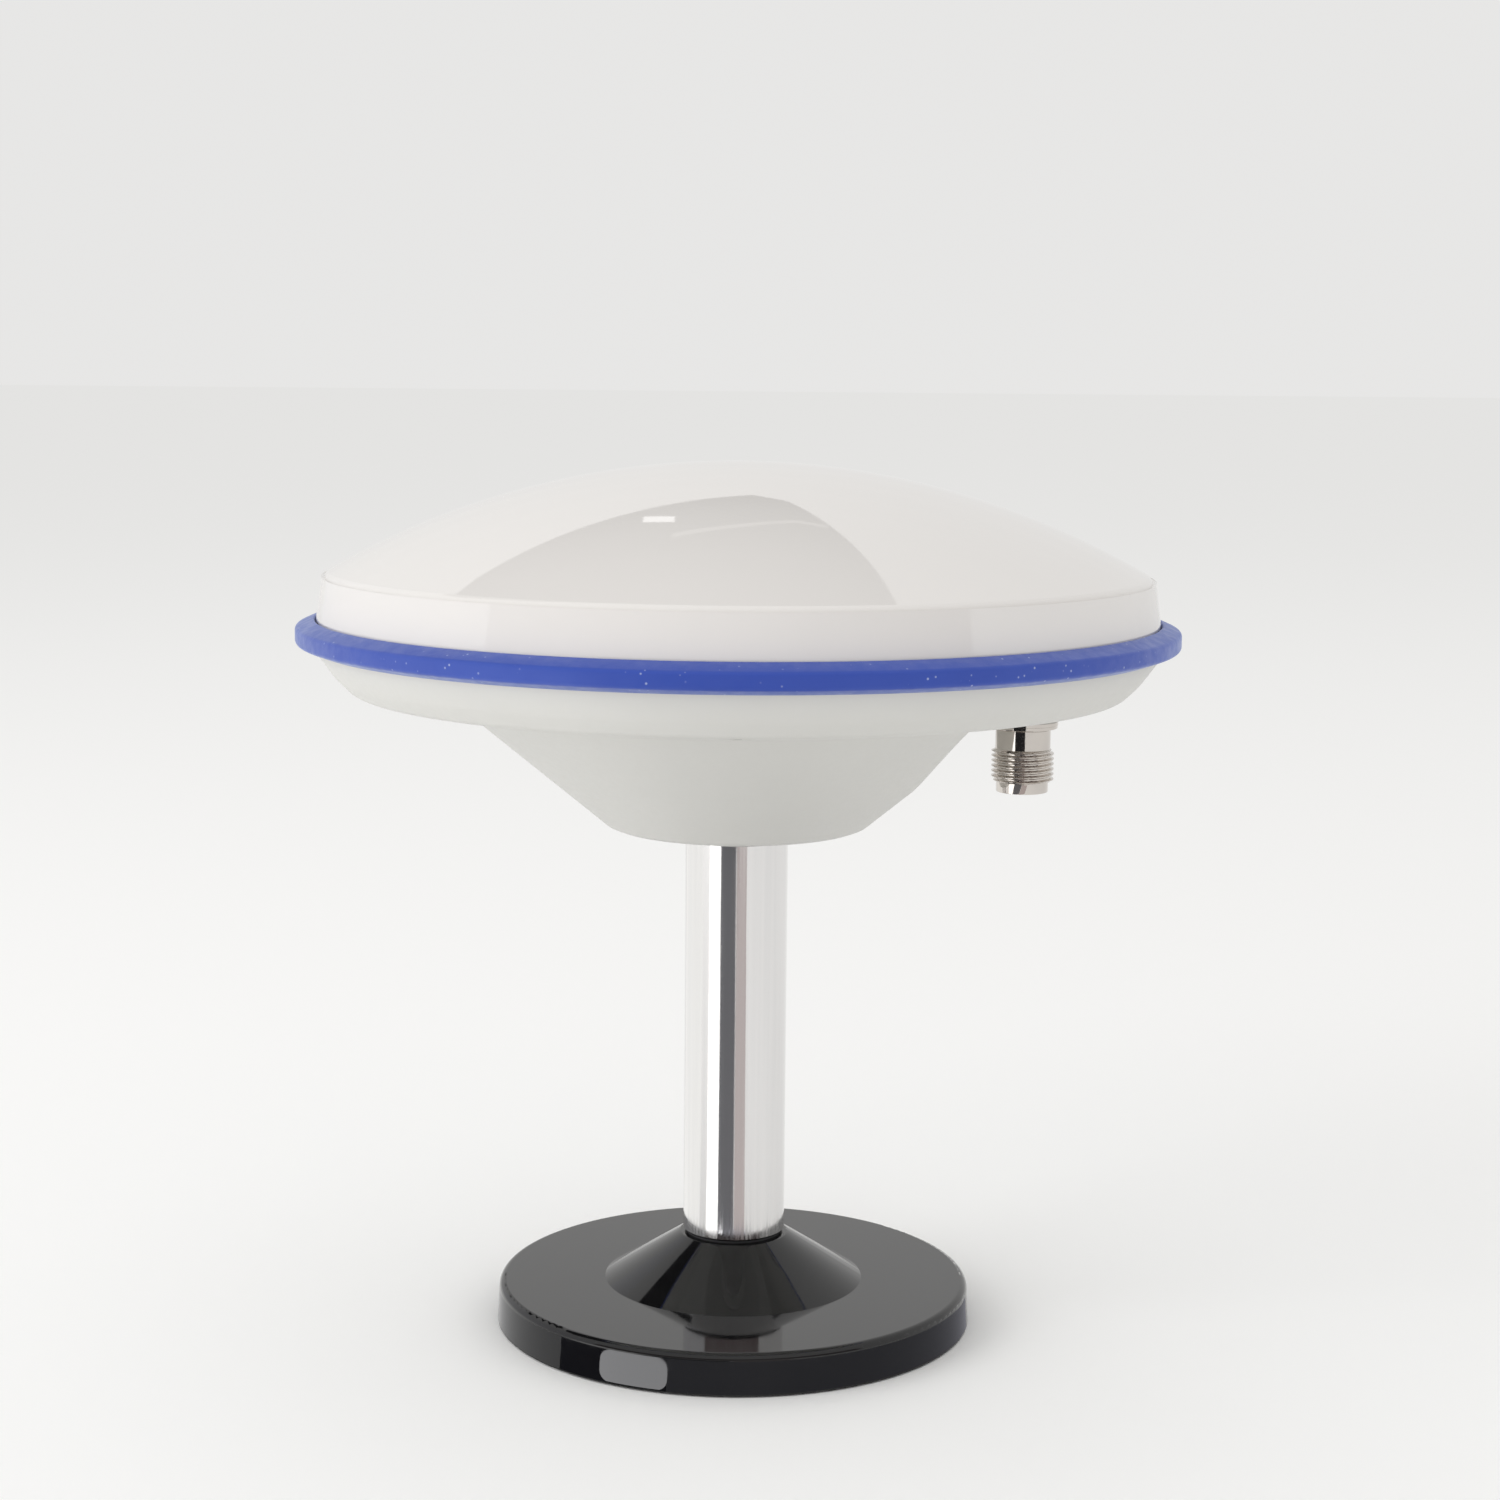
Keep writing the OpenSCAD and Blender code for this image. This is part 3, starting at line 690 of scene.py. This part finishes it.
def softbox(name, place, width, height, watts):
    """A soft lamp aimed at the object. It doesn't show in reflections."""
    light = bpy.data.lights.new(name, "AREA")
    light.shape = "RECTANGLE"
    light.size = width
    light.size_y = height
    light.energy = watts
    holder = bpy.data.objects.new(name, light)
    bpy.context.scene.collection.objects.link(holder)
    holder.location = place
    holder.visible_glossy = False
    holder.rotation_euler = (Vector(AIM) - Vector(place)).to_track_quat("-Z", "Y").to_euler()


def arc(r, angle_low, angle_high, z):
    """Points round the object. Angles are in degrees from the direction towards the camera."""
    points = []
    for i in range(ARC_STEPS + 1):
        a = math.radians(angle_low + (angle_high - angle_low) * i / ARC_STEPS)
        points.append((r * math.sin(a), -r * math.cos(a), z))
    return points


def floor_card(name, radius_low, radius_high, angle_low, angle_high, shade):
    """A ring sector lying on the floor."""
    near_side = arc(radius_low, angle_low, angle_high, CARD_LIFT)
    far_side = arc(radius_high, angle_low, angle_high, CARD_LIFT)
    reflected_card(name, near_side + far_side[::-1], shade)


def upright_card(name, angle_low, angle_high, z_low, z_high, shade, r=1.5):
    """A standing strip round the object."""
    corners = arc(r, angle_low, angle_high, z_low) + arc(r, angle_low, angle_high, z_high)[::-1]
    last = len(corners) - 1
    strips = [(i, i + 1, last - i - 1, last - i) for i in range(ARC_STEPS)]
    reflected_card(name, corners, shade, strips)


def wall_card(name, outline, shade, lift=CARD_LIFT + 0.0001, steps=14):
    """A card on the floor that shows in the base's side as the given outline.

    Outline points are (across, up): across from -1 at the left edge to 1 at the right, up from 0 at
    the side's foot to 1 at its top.
    """
    wall_r = radius("base_cover") * MM
    wall_low = 0.0003
    wall_high = 0.0062
    lean = math.radians(3.2)
    flattest = 0.05  # slope of the flattest ray that still counts
    longest = 0.034
    corners = []
    for (s0, u0), (s1, u1) in zip(outline, outline[1:] + outline[:1]):
        for i in range(steps):
            s = s0 + (s1 - s0) * i / steps
            u = u0 + (u1 - u0) * i / steps
            angle = math.asin(s)
            out = Vector((math.sin(angle), -math.cos(angle), 0))
            point = out * wall_r + Vector((0, 0, wall_low + (wall_high - wall_low) * u))
            normal = out * math.cos(lean) + Vector((0, 0, math.sin(lean)))
            ray = (point - EYE).normalized()
            ray -= 2 * ray.dot(normal) * normal
            reach = min((point.z - lift) / max(-ray.z, flattest), longest)
            corners.append((point.x + ray.x * reach, point.y + ray.y * reach, lift))
    reflected_card(name, corners, shade)


def rounded_patch(across, half_width, half_height, count=40):
    """Outline of a rounded rectangle at the middle of the base's side."""
    outline = []
    for i in range(count):
        a = 2 * math.pi * i / count
        x = math.copysign(abs(math.cos(a)) ** 0.45, math.cos(a))
        y = math.copysign(abs(math.sin(a)) ** 0.6, math.sin(a))
        outline.append((across + half_width * x, 0.5 + half_height * y))
    return outline


def ceiling_card(name, corners, shade, height):
    """A card above and behind the object, from (x, y) corners, that the dome reflects."""
    reflected_card(name, [(x, y, height) for x, y in corners], shade)


def build_stage():
    half = 12
    corners = [(-half, -half, 0), (half, -half, 0), (half, half, 0), (-half, half, 0)]
    plate("floor", corners, floor_material())
    world = bpy.data.worlds.new("studio")
    bpy.context.scene.world = world
    world.use_nodes = True
    background = world.node_tree.nodes["Background"]
    background.inputs["Color"].default_value = (1, 0.995, 0.985, 1)
    background.inputs["Strength"].default_value = 0.80
    softbox("softbox_left", (-1.05, -0.55, 0.55), 0.9, 0.9, 5.3)
    softbox("softbox_top", (0.15, 0.35, 1.5), 1.4, 1.4, 1.6)
    softbox("softbox_right", (1.3, -0.5, 0.6), 0.8, 1.0, 0.4)
    near = 0.05
    far = 0.58  # the pole reflects the floor up to here, and the jack beyond it
    jack_far = 1.7
    floor_card("floor_bright", near, far, -62, -35, (1.9, 1.9, 1.88))
    floor_card("floor_dark", near, far, -35, -1, (0.16, 0.16, 0.17))
    floor_card("floor_warm", near, far, 0, 23, (0.56, 0.50, 0.49))
    floor_card("floor_light", near, far, -150, -80, (1.05, 1.05, 1.03))
    floor_card("floor_far_bright", far, jack_far, -47, -35, (2.0, 2.0, 2.0))
    floor_card("floor_far_dark", far, jack_far, -35, 7, (0.02, 0.02, 0.022))
    upright_card("left_bright", -150, -68, 0.02, 1.1, (0.80, 0.80, 0.82))
    upright_card("front_dark", -67.5, 62, 0.13, 0.62, (0.20, 0.16, 0.16))
    wall_card("side_grey", [(-0.99, 0), (-0.697, 0), (-0.697, 1), (-0.99, 1)], (0.72, 0.72, 0.72))
    wall_card("side_black", [(-0.696, 0), (-0.26, 0), (-0.26, 1), (-0.696, 1)], (0.05, 0.05, 0.07))
    wall_card("side_dark", [(-0.259, 0), (0.985, 0), (0.985, 1), (-0.259, 1)], (0.36, 0.36, 0.40))
    wall_card("side_patch", rounded_patch(-0.395, 0.137, 0.49), (4.4, 4.4, 4.5), 0.0007)
    ceiling_card(
        "ceiling_dark",
        [(0.05, 3.1), (-1.1, 1.8), (-2.0, 0.5), (-1.2, 0.2), (0.7, 0.3), (0.53, 1.13), (0.34, 2.04),
         (0.18, 2.85)],
        (0.03, 0.03, 0.03), 2.0,
    )
    ceiling_card(
        "ceiling_lamp", [(-0.345, 2.2), (-0.345, 2.37), (-0.23, 2.27), (-0.228, 2.1)], (1.5, 1.5, 1.5), 1.99,
    )
    ceiling_card(
        "ceiling_rail",
        [(-0.23, 1.74), (-0.02, 1.88), (0.2, 2.08), (0.31, 2.04), (0.31, 2.1), (0.2, 2.15), (-0.02, 1.96),
         (-0.23, 1.82)],
        (0.36, 0.35, 0.34), 1.98,
    )


def build_camera():
    """Eye, tilt and lens of the reference view."""
    pitch, yaw, roll = (math.radians(a) for a in (7.993, 0.173, 0.506))
    ahead = Vector((math.sin(yaw) * math.cos(pitch), math.cos(yaw) * math.cos(pitch), -math.sin(pitch)))
    side = Vector((math.cos(yaw), -math.sin(yaw), 0))
    up = side.cross(ahead)
    across = side * math.cos(roll) + up * math.sin(roll)
    above = up * math.cos(roll) - side * math.sin(roll)
    data = bpy.data.cameras.new("camera")
    data.sensor_width = 36
    data.lens = 68.27
    data.shift_x = 0.0026
    data.shift_y = 0.0003
    data.clip_start = 0.01
    data.clip_end = 100
    camera = bpy.data.objects.new("camera", data)
    bpy.context.scene.collection.objects.link(camera)
    rotation = Matrix((across, above, -ahead)).transposed().to_4x4()
    camera.matrix_world = Matrix.Translation(EYE) @ rotation
    bpy.context.scene.camera = camera


build_stage()
build_camera()
bpy.context.scene.view_settings.view_transform = "Standard"
